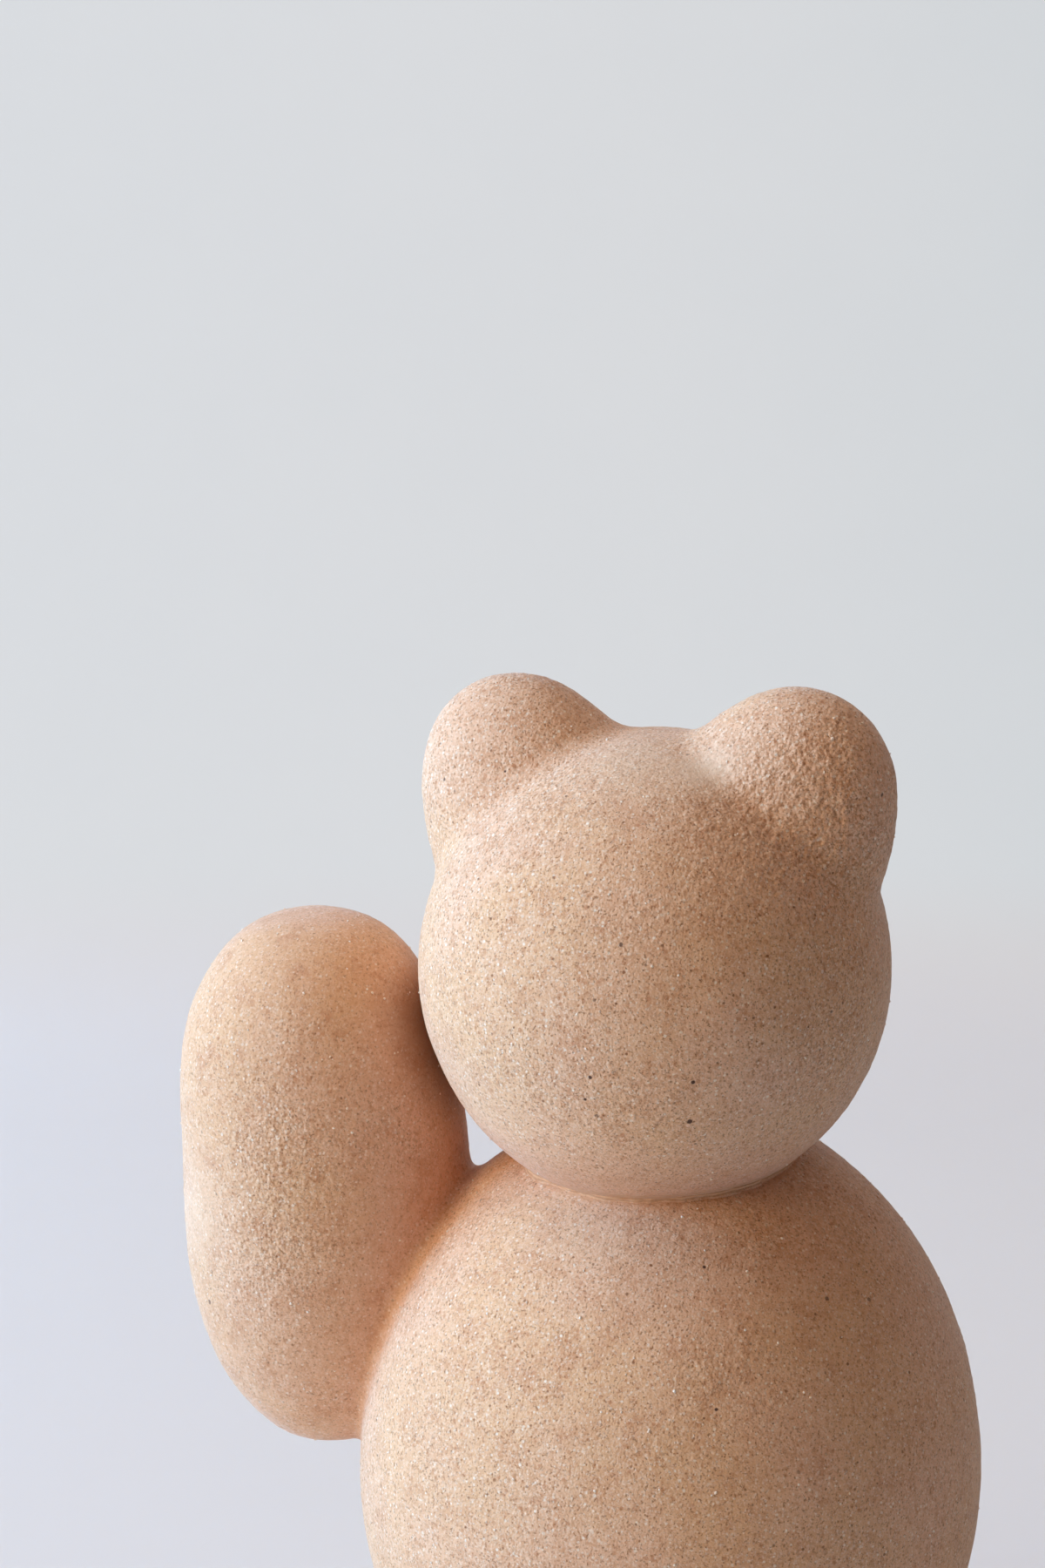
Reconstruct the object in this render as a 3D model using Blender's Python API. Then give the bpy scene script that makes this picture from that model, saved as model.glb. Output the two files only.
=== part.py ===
"""Lucky cat figurine with one raised arm and no face, in unglazed, grogged stoneware.

It is built as a potter builds it. The body, the head and the arm are each two pinched bowls, joined
rim to rim by a coil of clay pressed into a V groove. The head, the ears and the arm are cut to sit on
what carries them, and a coil luted into each crease holds them there. Vents join the hollows and open
under the foot, as steam has to leave in the kiln.

Metres, +Z up. The cat looks towards -Y and raises the arm at -X. The origin is the middle of the
flat foot.
"""

import math

import bmesh
import bpy
import numpy as np
from mathutils import Matrix, Vector

# The space that touching pieces keep between them
CLEARANCE = 0.0003

# Body: an egg that stands on a flat foot
BODY_RADIUS = 0.0590
BODY_HALF_HEIGHT = 0.0698
BODY_WALL = 0.0060
FOOT_DROP = 0.0565  # from the body's widest level down to the foot
FOOT_THICKNESS = 0.0080
FOOT_ROUNDING = 0.0040

# Head: nearly a ball, let down over the body's crown
HEAD_RADIUS = 0.0435
HEAD_HALF_HEIGHT = 0.0441
HEAD_WALL = 0.0055
HEAD_SINK = 0.0156
HEAD_FORWARD = 0.0092
HEAD_ASIDE = 0.0009  # towards the raised arm

# Ears: leaning outwards, their lower halves lost in the head
EAR_HALF_WIDTH = 0.0241
EAR_HALF_THICKNESS = 0.0186
EAR_HALF_LENGTH = 0.0360
EAR_WALL = 0.0045
EAR_TILT = math.radians(32.5)
EARS_APART = 0.0114  # between the two roots, over the crown
EAR_SINK = 0.0182  # from the head's surface down to the ear's widest level

# Raised arm: its lower end level with the body's widest level, its paw beside the head
ARM_RADIUS = 0.0275
ARM_HALF_LENGTH = 0.0524
ARM_FULLNESS = 2.6
ARM_WALL = 0.0050
ARM_LEAN = math.radians(6.6)
ARM_FORWARD = 0.0077
ARM_HEAD_GAP = 0.0008
ARM_SEAM_RISE = 0.0100  # from the arm's middle up to the seam of its two bowls

# Coils in the V grooves between the bowls
GROOVE_WIDTH = 0.0050
GROOVE_DEPTH = 0.0032

# Coils in the creases: their width, and the thickness of their thumbed-out edge
NECK_COIL = 0.0020
ARM_COIL = 0.0028
EAR_COIL_OUTER = 0.0024
EAR_COIL_INNER = 0.0034
COIL_EDGE = 0.0004

# Vents
NECK_VENT_RADIUS = 0.0070
EAR_VENT_RADIUS = 0.0030
ARM_VENT_RADIUS = 0.0030
FOOT_VENT_RADIUS = 0.0035
FOOT_VENT_BACK = 0.0170

# Facets
BODY_SIDES = 44
HEAD_SIDES = 40
ARM_SIDES = 32
EAR_SIDES = 32
VENT_SIDES = 16
OUTER_STEPS = 10  # from a form's pole to its widest level
INNER_STEPS = 6
COIL_STEPS = 2
ARC_STEPS = 3
HALVINGS = 40  # of an interval in which a place is looked for
SHARP_EDGE = math.radians(35)

# Colours: the fired clay, and the wetter clay of the coils, which fires paler
CLAY = (0.50, 0.33, 0.22)
COIL_CLAY = (0.62, 0.45, 0.33)
CLAY_ROUGHNESS = 0.85


class Form:
    """A rounded form at its place: an ellipsoid or, where its fullness is over 2, a squarer one."""

    def __init__(self, half_x, half_y, half_z, place, turn, fullness, sides):
        self.half = np.array((half_x, half_y, half_z))
        self.place = Vector(place)
        self.turn = turn
        self.fullness = fullness
        self.sides = sides

    def offset(self, distance):
        """The same form with its surface moved outwards."""
        half = self.half + distance
        return Form(*half, self.place, self.turn, self.fullness, self.sides)

    def radius_at(self, height):
        share = min(abs(height) / self.half[2], 1.0)
        return self.half[0] * (1 - share**self.fullness) ** (1 / self.fullness)

    def meridian(self, top, bottom, steps):
        """Points (radius, height) down the form's side, at even angles."""
        power = 2 / self.fullness

        def angle(height):
            share = max(-1.0, min(1.0, height / self.half[2]))
            return math.acos(math.copysign(abs(share) ** (1 / power), share))

        angles = np.linspace(angle(top), angle(bottom), steps + 1)
        cosines = np.cos(angles)
        heights = self.half[2] * np.sign(cosines) * np.abs(cosines) ** power
        radii = self.half[0] * np.abs(np.sin(angles)) ** power
        points = list(zip(radii.tolist(), heights.tolist()))
        points[0] = (self.radius_at(top), top)
        points[-1] = (self.radius_at(bottom), bottom)
        return points

    def distance(self, points):
        """How far points lie outside the surface, nearly exact close to it."""
        local = (points - np.array(self.place)) @ np.array(self.turn.to_3x3())
        unit = np.abs(local / self.half) + 1e-12
        power = self.fullness
        across = np.hypot(unit[..., 0], unit[..., 1])
        level = (across**power + unit[..., 2] ** power) ** (1 / power)
        shared = level ** (1 - power)
        slope = np.stack(
            (
                across ** (power - 2) * unit[..., 0],
                across ** (power - 2) * unit[..., 1],
                unit[..., 2] ** (power - 1),
            ),
            axis=-1,
        )
        slope = slope * shared[..., None] / self.half
        return (level - 1) / np.linalg.norm(slope, axis=-1)

    def skin(self):
        """Points all over the surface."""
        rings = [
            (radius * math.cos(around), radius * math.sin(around), height)
            for radius, height in self.meridian(self.half[2], -self.half[2], 3 * OUTER_STEPS)
            for around in np.linspace(0, 2 * math.pi, 2 * self.sides)
        ]
        local = np.array(rings) * (1, self.half[1] / self.half[0], 1)
        return local @ np.array(self.turn.to_3x3()).T + np.array(self.place)


def clear_scene():
    for item in list(bpy.data.objects):
        bpy.data.objects.remove(item, do_unlink=True)


def fired_clay(name, colour):
    material = bpy.data.materials.new(name)
    material.use_nodes = True
    shader = material.node_tree.nodes["Principled BSDF"]
    shader.inputs["Base Color"].default_value = (*colour, 1)
    shader.inputs["Roughness"].default_value = CLAY_ROUGHNESS
    shader.inputs["Metallic"].default_value = 0
    return material


def carrier(name, form):
    """An empty at a form's centre, turned with it, that its pieces hang from."""
    empty = bpy.data.objects.new(name, None)
    bpy.context.scene.collection.objects.link(empty)
    empty.matrix_world = Matrix.Translation(form.place) @ form.turn
    return empty


def add_piece(name, bm, parent=None, colour=CLAY):
    """An object from a mesh drawn about its parent's origin."""
    bmesh.ops.recalc_face_normals(bm, faces=bm.faces)
    mesh = bpy.data.meshes.new(name)
    bm.to_mesh(mesh)
    bm.free()
    mesh.shade_smooth()
    mesh.set_sharp_from_angle(angle=SHARP_EDGE)
    mesh.materials.append(fired_clay(name, colour))
    piece = bpy.data.objects.new(name, mesh)
    bpy.context.scene.collection.objects.link(piece)
    piece.parent = parent
    return piece


def spun(outline, sides, flatten=1.0):
    """The solid of a closed outline of (radius, height) points, spun about +Z."""
    bm = bmesh.new()
    corners = [bm.verts.new((radius, 0, height)) for radius, height in outline]
    edges = []
    for first, second in zip(corners, corners[1:] + corners[:1]):
        if first.co.x > 0 or second.co.x > 0:
            edges.append(bm.edges.new((first, second)))
    bmesh.ops.spin(
        bm,
        geom=corners + edges,
        cent=(0, 0, 0),
        axis=(0, 0, 1),
        dvec=(0, 0, 0),
        angle=2 * math.pi,
        steps=sides,
        use_merge=True,
        use_duplicate=False,
    )
    bmesh.ops.remove_doubles(bm, verts=bm.verts, dist=1e-7)
    bmesh.ops.scale(bm, vec=(1, flatten, 1), verts=bm.verts)
    return bm


def whole(form, steps=OUTER_STEPS):
    """A form as one solid."""
    outline = form.meridian(form.half[2], -form.half[2], 2 * steps)
    outline[0] = (0, form.half[2])
    outline[-1] = (0, -form.half[2])
    return spun(outline, form.sides, form.half[1] / form.half[0])


def cut(piece, cutter):
    """Takes a cutter out of a piece, and keeps it as a guide that isn't part of the object."""
    cutter.hide_render = True
    cutter.display_type = "WIRE"
    modifier = piece.modifiers.new(cutter.name, "BOOLEAN")
    modifier.operation = "DIFFERENCE"
    modifier.solver = "EXACT"
    modifier.object = cutter


def cut_by_form(piece, form, parent):
    """Trims a piece to sit on a neighbour, with the clearance between them."""
    cutter = add_piece(f"{piece.name}_seat_cutter", whole(form.offset(CLEARANCE)), parent)
    cut(piece, cutter)


def cut_vent(piece, radius, middle, direction, length):
    """Bores a vent through a piece."""
    bm = bmesh.new()
    bmesh.ops.create_cone(
        bm, cap_ends=True, segments=VENT_SIDES, radius1=radius, radius2=radius, depth=length
    )
    cutter = add_piece(f"{piece.name}_{len(piece.modifiers)}_vent_cutter", bm)
    turn = direction.to_track_quat("Z", "Y").to_matrix().to_4x4()
    cutter.matrix_world = Matrix.Translation(middle) @ turn
    cut(piece, cutter)


def bowl_rim(form, wall, seam, side):
    """The rim of a bowl at a seam, from the outside in: one flank of the groove, then the land."""
    edge = seam + side * GROOVE_WIDTH / 2
    land = seam + side * CLEARANCE / 2
    floor = form.radius_at(seam) - GROOVE_DEPTH
    return (form.radius_at(edge), edge), (floor, land), (form.offset(-wall).radius_at(land), land)


def upper_bowl(name, form, wall, seam, parent):
    """A bowl upside down: the upper half of a hollow form."""
    inside = form.offset(-wall)
    edge, floor, land = bowl_rim(form, wall, seam, 1)
    outline = form.meridian(form.half[2], edge[1], OUTER_STEPS)
    outline[0] = (0, form.half[2])
    outline += [floor]
    outline += inside.meridian(inside.half[2], land[1], INNER_STEPS)[::-1]
    outline[-1] = (0, inside.half[2])
    return add_piece(name, spun(outline, form.sides), parent)


def lower_bowl(name, form, wall, seam, parent):
    """The lower half of a hollow form."""
    inside = form.offset(-wall)
    edge, floor, land = bowl_rim(form, wall, seam, -1)
    outline = form.meridian(edge[1], -form.half[2], OUTER_STEPS)
    outline[-1] = (0, -form.half[2])
    outline += inside.meridian(land[1], -inside.half[2], INNER_STEPS)[::-1]
    outline[OUTER_STEPS + 1] = (0, -inside.half[2])
    outline += [floor]
    return add_piece(name, spun(outline, form.sides), parent)


def footed_bowl(name, form, wall, parent):
    """The body's lower bowl, which stands on a flat, solid foot with a rounded edge."""
    inside = form.offset(-wall)
    edge, floor, land = bowl_rim(form, wall, 0, -1)
    foot = -FOOT_DROP
    above = foot + FOOT_ROUNDING
    foot_radius = form.radius_at(foot)
    shoulder = form.radius_at(above)
    outline = form.meridian(edge[1], above, OUTER_STEPS)
    for step in range(1, ARC_STEPS + 1):
        share = step / ARC_STEPS
        bend = 2 * share * (1 - share)
        radius = (1 - share) ** 2 * shoulder + bend * foot_radius + share**2 * (foot_radius - FOOT_ROUNDING)
        height = (1 - share) ** 2 * above + bend * foot + share**2 * foot
        outline.append((radius, height))
    inner_floor = foot + FOOT_THICKNESS
    outline += [(0, foot), (0, inner_floor)]
    outline += inside.meridian(land[1], inner_floor, INNER_STEPS)[::-1]
    outline += [floor]
    return add_piece(name, spun(outline, form.sides), parent)


def seam_coil(name, form, seam, parent):
    """The coil pressed into the groove between two bowls and scraped flush with the outside."""
    flank = (GROOVE_WIDTH - CLEARANCE) / 2 / GROOVE_DEPTH
    inset = CLEARANCE * math.hypot(1, flank) - CLEARANCE / 2
    half_width = flank * GROOVE_DEPTH - inset
    radius = form.radius_at(seam)
    outline = form.meridian(seam + half_width, seam - half_width, COIL_STEPS)
    outline.append((radius - GROOVE_DEPTH + inset / flank, seam))
    return add_piece(name, spun(outline, form.sides), parent, COIL_CLAY)


def halved(low, high, is_high):
    """The places between low and high where is_high turns true, by halving the interval."""
    for _ in range(HALVINGS):
        middle = (low + high) / 2
        above = is_high(middle)
        low = np.where(above, low, middle)
        high = np.where(above, middle, high)
    return (low + high) / 2


def coil_section(width):
    """The corners of a crease coil's section, each as its distances to the joined piece and the base.

    The two faces that touch the clay are straight, and the outside is the hollow left by a thumb.
    """
    thin = CLEARANCE + COIL_EDGE
    reach = width - thin
    angles = np.linspace(math.pi / 2, 0, ARC_STEPS + 1)
    hollow = [
        (thin + reach * (1 - math.cos(angle)), thin + reach * (1 - math.sin(angle))) for angle in angles
    ]
    return [(width, CLEARANCE), *hollow, (CLEARANCE, width), (CLEARANCE, CLEARANCE)]


def crease_coil(name, base, joined, middle, outwards, width_towards, parent):
    """The coil luted into the crease round a form where it sits on its base.

    Each section lies in a half plane through the line from middle along outwards. width_towards
    gives the coil's width from the section's direction.
    """
    outwards = outwards.normalized()
    across = outwards.orthogonal().normalized()
    sides = joined.sides
    turns = [Matrix.Rotation(2 * math.pi * side / sides, 3, outwards) @ across for side in range(sides)]
    sections = np.array([coil_section(width_towards(turn)) for turn in turns])
    directions = np.array(turns)[:, None, :]
    start = np.array(middle)
    lift = np.array(outwards)
    farthest = np.full(sections.shape[:2], float(max(joined.half) + max(base.half)))

    def on_base(reach):
        def at(height):
            return start + directions * reach[..., None] + lift * height[..., None]

        height = halved(0 * farthest, farthest, lambda value: base.distance(at(value)) > sections[..., 1])
        return at(height)

    widest = farthest * 0 + max(joined.half)
    reach = halved(0 * farthest, widest, lambda value: joined.distance(on_base(value)) > sections[..., 0])
    points = on_base(reach) - start
    bm = bmesh.new()
    rings = [[bm.verts.new(point) for point in ring] for ring in points]
    for ring, following in zip(rings, rings[1:] + rings[:1]):
        for corner in range(len(ring)):
            beyond = (corner + 1) % len(ring)
            bm.faces.new((ring[corner], ring[beyond], following[beyond], following[corner]))
    piece = add_piece(name, bm, parent, COIL_CLAY)
    piece.matrix_world = Matrix.Translation(middle)


def body_form():
    place = (0, 0, FOOT_DROP)
    return Form(BODY_RADIUS, BODY_RADIUS, BODY_HALF_HEIGHT, place, Matrix(), 2, BODY_SIDES)


def head_form(body):
    rise = BODY_HALF_HEIGHT + HEAD_HALF_HEIGHT - HEAD_SINK
    place = body.place + Vector((-HEAD_ASIDE, -HEAD_FORWARD, rise))
    return Form(HEAD_RADIUS, HEAD_RADIUS, HEAD_HALF_HEIGHT, place, Matrix(), 2, HEAD_SIDES)


def on_head(head, angle):
    """The point of the head's outline at an angle from upright, towards +X."""
    direction = Vector((math.sin(angle), 0, math.cos(angle)))
    return head.place + direction / math.hypot(direction.x / HEAD_RADIUS, direction.z / HEAD_HALF_HEIGHT)


def ear_form(head, side):
    """An ear, moved round the head until its root clears the other's; side is -1 for the ear at -X."""
    turn = Matrix.Rotation(side * EAR_TILT, 4, "Y")
    root = on_head(head, side * math.asin(EARS_APART / 2 / HEAD_RADIUS))

    def at(angle):
        surface = on_head(head, side * angle)
        place = surface + (head.place - surface).normalized() * EAR_SINK
        return Form(EAR_HALF_WIDTH, EAR_HALF_THICKNESS, EAR_HALF_LENGTH, place, turn, 2, EAR_SIDES)

    def clears_root(angle):
        return at(float(angle)).distance(np.array(root)) > 0

    return at(float(halved(0.0, math.pi / 2, clears_root)))


def arm_form(body, head):
    """The arm, moved in along X until it clears the head by its named gap."""
    turn = Matrix.Rotation(ARM_LEAN, 4, "X")
    height = body.place.z + ARM_HALF_LENGTH * math.cos(ARM_LEAN)

    def at(x):
        place = (x, -ARM_FORWARD, height)
        return Form(ARM_RADIUS, ARM_RADIUS, ARM_HALF_LENGTH, place, turn, ARM_FULLNESS, ARM_SIDES)

    def too_close(x):
        return head.distance(at(float(x)).skin()).min() < ARM_HEAD_GAP

    farthest = -(HEAD_RADIUS + 2 * ARM_RADIUS)
    return at(float(halved(farthest, -ARM_RADIUS, too_close)))


def make_body(body, head, arm, parent):
    upright = Vector((0, 0, 1))
    lower = footed_bowl("body_lower_bowl", body, BODY_WALL, parent)
    cut_vent(lower, FOOT_VENT_RADIUS, Vector((0, FOOT_VENT_BACK, 0)), upright, 3 * FOOT_THICKNESS)
    upper = upper_bowl("body_upper_bowl", body, BODY_WALL, 0, parent)
    to_head = head.place - body.place
    neck = body.place + to_head * (BODY_HALF_HEIGHT / to_head.length)
    cut_vent(upper, NECK_VENT_RADIUS, neck, upright, BODY_RADIUS)
    seat = arm_seat(arm)
    outwards = Vector((seat.x - body.place.x, seat.y - body.place.y, 0)).normalized()
    wall = body.place + outwards * body.radius_at(seat.z - body.place.z)
    wall.z = seat.z
    cut_vent(upper, ARM_VENT_RADIUS, wall, outwards, ARM_RADIUS)
    seam_coil("body_seam_coil", body, 0, parent)


def arm_seat(arm):
    """The middle of the arm's lower half, beside its seat on the body."""
    return arm.place - arm.turn.to_3x3() @ Vector((0, 0, ARM_HALF_LENGTH / 2))


def make_head(body, head, ears, body_centre, parent):
    lower = lower_bowl("head_lower_bowl", head, HEAD_WALL, 0, parent)
    cut_by_form(lower, body, body_centre)
    upper = upper_bowl("head_upper_bowl", head, HEAD_WALL, 0, parent)
    seam_coil("head_seam_coil", head, 0, parent)
    for ear in ears:
        direction = ear.place - head.place
        cut_vent(upper, EAR_VENT_RADIUS, ear.place, direction, 2 * EAR_HALF_LENGTH)
    middle = body.place + (head.place - body.place) / 2
    upright = Vector((0, 0, 1))
    crease_coil("neck_coil", body, head, middle, upright, lambda turn: NECK_COIL, body_centre)


def make_ear(name, side, head, ear, head_centre, parent):
    shell = add_piece(f"{name}_shell", whole(ear), parent)
    hollow = ear.offset(-EAR_WALL)
    cut(shell, add_piece(f"{name}_hollow_cutter", whole(hollow, INNER_STEPS), parent))
    cut_by_form(shell, head, head_centre)
    outwards = ear.place - head.place
    crown = head.place + Vector((0, 0, HEAD_HALF_HEIGHT))
    inner = min(EAR_COIL_INNER, float(ear.distance(np.array(crown))) - CLEARANCE)

    def width(turn):
        inner_share = (1 - side * turn.x) / 2
        return EAR_COIL_OUTER + (inner - EAR_COIL_OUTER) * inner_share

    crease_coil(f"{name}_coil", head, ear, head.place, outwards, width, parent)


def make_arm(body, arm, body_centre, parent):
    lower = lower_bowl("arm_lower_bowl", arm, ARM_WALL, ARM_SEAM_RISE, parent)
    cut_by_form(lower, body, body_centre)
    upper_bowl("arm_upper_bowl", arm, ARM_WALL, ARM_SEAM_RISE, parent)
    seam_coil("arm_seam_coil", arm, ARM_SEAM_RISE, parent)
    seat = arm_seat(arm)
    middle = Vector((body.place.x, seat.y, seat.z))
    outwards = Vector((-1, 0, 0))
    crease_coil("arm_coil", body, arm, middle, outwards, lambda turn: ARM_COIL, parent)


def main():
    clear_scene()
    body = body_form()
    head = head_form(body)
    ears = [ear_form(head, -1), ear_form(head, 1)]
    arm = arm_form(body, head)
    body_centre = carrier("body_centre", body)
    head_centre = carrier("head_centre", head)
    arm_centre = carrier("arm_centre", arm)
    make_body(body, head, arm, body_centre)
    make_head(body, head, ears, body_centre, head_centre)
    for name, side, ear in zip(("left_ear", "right_ear"), (-1, 1), ears):
        make_ear(name, side, head, ear, head_centre, carrier(f"{name}_centre", ear))
    make_arm(body, arm, body_centre, arm_centre)


main()
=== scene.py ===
"""Looks of the lucky cat figurine: the skin of unglazed, speckled, grogged stoneware.

The clay of each bowl, ear and coil is one continuous skin on the real figurine. It is made here as two
fine meshes, the torso with its arm and the head with its ears, which are shaped by hand-made relief
and then parted into one piece for each CAD node. Lengths are in metres, in the frame's own axes.
"""

import math

import bmesh
import bpy
import numpy as np
from mathutils import Matrix, Vector


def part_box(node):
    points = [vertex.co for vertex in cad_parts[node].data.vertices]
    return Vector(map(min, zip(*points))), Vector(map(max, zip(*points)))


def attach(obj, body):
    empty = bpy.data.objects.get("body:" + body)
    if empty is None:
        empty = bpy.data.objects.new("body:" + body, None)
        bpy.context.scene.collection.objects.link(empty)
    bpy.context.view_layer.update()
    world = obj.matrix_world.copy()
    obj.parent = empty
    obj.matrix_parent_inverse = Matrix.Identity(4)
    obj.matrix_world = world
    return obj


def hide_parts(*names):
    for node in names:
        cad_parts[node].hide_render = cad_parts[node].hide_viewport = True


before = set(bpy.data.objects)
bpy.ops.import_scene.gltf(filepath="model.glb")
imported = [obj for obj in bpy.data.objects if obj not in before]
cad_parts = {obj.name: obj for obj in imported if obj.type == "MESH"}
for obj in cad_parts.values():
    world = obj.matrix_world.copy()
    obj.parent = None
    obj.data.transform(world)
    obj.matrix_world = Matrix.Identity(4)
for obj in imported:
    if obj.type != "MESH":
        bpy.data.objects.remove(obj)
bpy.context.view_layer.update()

# Shapes that the frame's boxes don't tell
EAR_HALF = (0.0243, 0.0188, 0.0362)
EAR_TILT = math.radians(32.5)
ARM_LEAN = math.radians(6.6)
ARM_FULLNESS = 2.6
SEAM_WIDTH = 0.0050  # of the coil in the groove between two bowls
VENT_RADIUS = 0.0035
VENT_BACK = 0.0170
VENT_DEPTH = 0.0140

# How widely the clay is smoothed together
ARM_BLEND_LOW = 0.0028
ARM_BLEND_HIGH = 0.0056
EAR_BLEND = 0.0026
FOOT_BLEND = 0.0070
VENT_BLEND = 0.0012

# Where the hand-made forms leave the even ones
EAR_FLANK_DRAWN_IN = 0.0008
EAR_SLIMMED = 0.0002
EAR_TOP_RAISED = 0.0008
EAR_FLANK_ACROSS = (0.15, 0.75)  # from the ear's middle towards the crown, as a share of its half width
EAR_FLANK_DOWN = (-0.9, -0.45)  # from its tip downwards, as a share of its half length
EAR_TIP = (0.5, 1.0)
ARM_OUTER_CONTOUR = (  # height up the arm, over how much of it, how far out
    (0.62, 0.22, 0.0008),
    (0.15, 0.14, -0.0003),
    (-0.38, 0.22, 0.0004),
    (-0.90, 0.14, -0.0012),
)
ARM_INNER_CONTOUR = ((0.10, 0.28, 0.0004),)
ARM_OUTER_SIDE = (0.0, 0.9)  # from the arm's middle outwards, as a share of its radius
ARM_INNER_SIDE = (0.2, 0.9)
ARM_BLEND_HEIGHTS = (-0.9, 0.15)  # up the arm, where its blend goes from low to high
ARM_COIL_REACH = 0.0031

# Slip in the neck's crease
SLIP_WIDTH = 0.0016
SLIP_WAVER = ((0.0060, 0.45, 21), (0.0021, 0.35, 22))  # size of the noise, share of the width and seed
SLIP_LUMPS = ((0.0013, 0.00010, 23), (0.0006, 0.00005, 24))  # size of the noise, height and seed
SLIP_FILLET = 1.1  # its fillet's blend, in widths
SLIP_NARROW_SHARE = 0.45  # of its width away from the arm
SLIP_NARROWS = (-0.030, -0.012)  # how far towards the arm it goes from narrow to full
SLIP_RIDGE = 0.00022  # a low ridge that the tool left, here and there
SLIP_RIDGE_STRETCH = 0.0045
SLIP_RIDGE_PLACE = 0.55  # of the way from the crease to the slip's edge on the head
SLIP_RIDGE_SPREAD = 0.22
SLIP_EDGE = 0.72  # from here outwards it sinks into the clay
SLIP_SUNK = 0.00030
SLIP_AROUND = 900
SLIP_ACROSS = 15

# Mesh of the skins
FORM_STEPS = 48
TORSO_STEP = 0.00051
HEAD_STEP = 0.00041
BURIED = 0.0025  # skin this deep in a neighbour is left out
NUDGE = 0.00002  # for slopes of the fields
SETTLE_ROUNDS = 4
CREASE_ROUNDS = 12
CREASE_REACH = 0.75  # of the head's radius, where the search for the neck's crease begins
MAP_MARGIN = 0.005

# Camera, at the photograph's viewing angle
CAMERA_FROM_BODY = Vector((0.18725, -0.64885, 0.24870))
CAMERA_HEADING = math.radians(18.48)
CAMERA_PITCH = math.radians(9.91)
CAMERA_LENS = 85
FILM_HEIGHT = 36


class Form:
    """A rounded form: an ellipsoid or, where its fullness is over 2, a squarer one."""

    def __init__(self, centre, half, turn=Matrix.Identity(3), fullness=2.0):
        self.centre = np.array(centre)
        self.half = np.array(half)
        self.turn = np.array(turn)
        self.fullness = fullness

    def distance(self, points):
        """How far points lie outside the surface, nearly exact close to it."""
        power = self.fullness
        unit = np.abs((points - self.centre) @ self.turn / self.half) + 1e-9
        across = np.hypot(unit[:, 0], unit[:, 1])
        level = (across**power + unit[:, 2] ** power) ** (1 / power)
        slope = unit.copy()
        slope[:, :2] *= across[:, None] ** (power - 2)
        slope[:, 2] **= power - 1
        slope *= level[:, None] ** (1 - power) / self.half
        return (level - 1) / np.linalg.norm(slope, axis=1)

    def height(self, points):
        """Points' heights along the form's own axis, from its centre."""
        return (points - self.centre) @ self.turn[:, 2]

    def solid(self):
        """The form as a coarse closed object, to start a skin from."""
        bm = bmesh.new()
        bmesh.ops.create_uvsphere(bm, u_segments=2 * FORM_STEPS, v_segments=FORM_STEPS, radius=1)
        power = 2 / self.fullness
        for vertex in bm.verts:
            across = max(math.hypot(vertex.co.x, vertex.co.y), 1e-9)
            swell = across ** (power - 1)
            height = math.copysign(abs(vertex.co.z) ** power, vertex.co.z)
            local = self.half * (vertex.co.x * swell, vertex.co.y * swell, height)
            vertex.co = self.turn @ local + self.centre
        return object_from(bm, "form")


def object_from(bm, name):
    mesh = bpy.data.meshes.new(name)
    bm.to_mesh(mesh)
    bm.free()
    made = bpy.data.objects.new(name, mesh)
    bpy.context.scene.collection.objects.link(made)
    return made


def box_middle(*nodes):
    corners = [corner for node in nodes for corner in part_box(node)]
    return [(min(c[axis] for c in corners) + max(c[axis] for c in corners)) / 2 for axis in range(3)]


def box_half(*nodes):
    corners = [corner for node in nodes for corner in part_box(node)]
    return [(max(c[axis] for c in corners) - min(c[axis] for c in corners)) / 2 for axis in range(3)]


def round_form(seam_node, top_node):
    """The body's or the head's form: its seam gives the middle, its upper bowl the top."""
    centre = box_middle(seam_node)
    radius = box_half(seam_node)[0]
    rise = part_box(top_node)[1].z - centre[2]
    return Form(centre, (radius, radius, rise))


def ear_form(node, side):
    """An ear, placed by the outermost and the highest point of its shell."""
    width, _, length = EAR_HALF
    reach = math.hypot(width * math.cos(EAR_TILT), length * math.sin(EAR_TILT))
    rise = math.hypot(width * math.sin(EAR_TILT), length * math.cos(EAR_TILT))
    low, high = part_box(node)
    outermost = high.x if side > 0 else low.x
    centre = (outermost - side * reach, box_middle(node)[1], high.z - rise)
    return Form(centre, EAR_HALF, Matrix.Rotation(side * EAR_TILT, 3, "Y"))


def arm_form():
    middle = box_middle("arm_lower_bowl", "arm_upper_bowl")
    centre = (box_middle("arm_upper_bowl")[0], middle[1], middle[2])
    radius = box_half("arm_upper_bowl")[0]
    rise = box_half("arm_lower_bowl", "arm_upper_bowl")[2]
    length = math.sqrt(rise**2 - (radius * math.sin(ARM_LEAN)) ** 2) / math.cos(ARM_LEAN)
    return Form(centre, (radius, radius, length), Matrix.Rotation(ARM_LEAN, 3, "X"), ARM_FULLNESS)


BODY = round_form("body_seam_coil", "body_upper_bowl")
HEAD = round_form("head_seam_coil", "head_upper_bowl")
EARS = {-1: ear_form("left_ear_shell", -1), 1: ear_form("right_ear_shell", 1)}
ARM = arm_form()
ARM_SEAM = float(ARM.height(np.array([box_middle("arm_seam_coil")]))[0])


def on(form, right, front, up):
    """A point on a form's surface, in a direction given in its own axes."""
    direction = np.array((right, -front, up)) / form.half
    return form.centre + form.turn @ (direction / np.linalg.norm(direction) * form.half)


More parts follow.
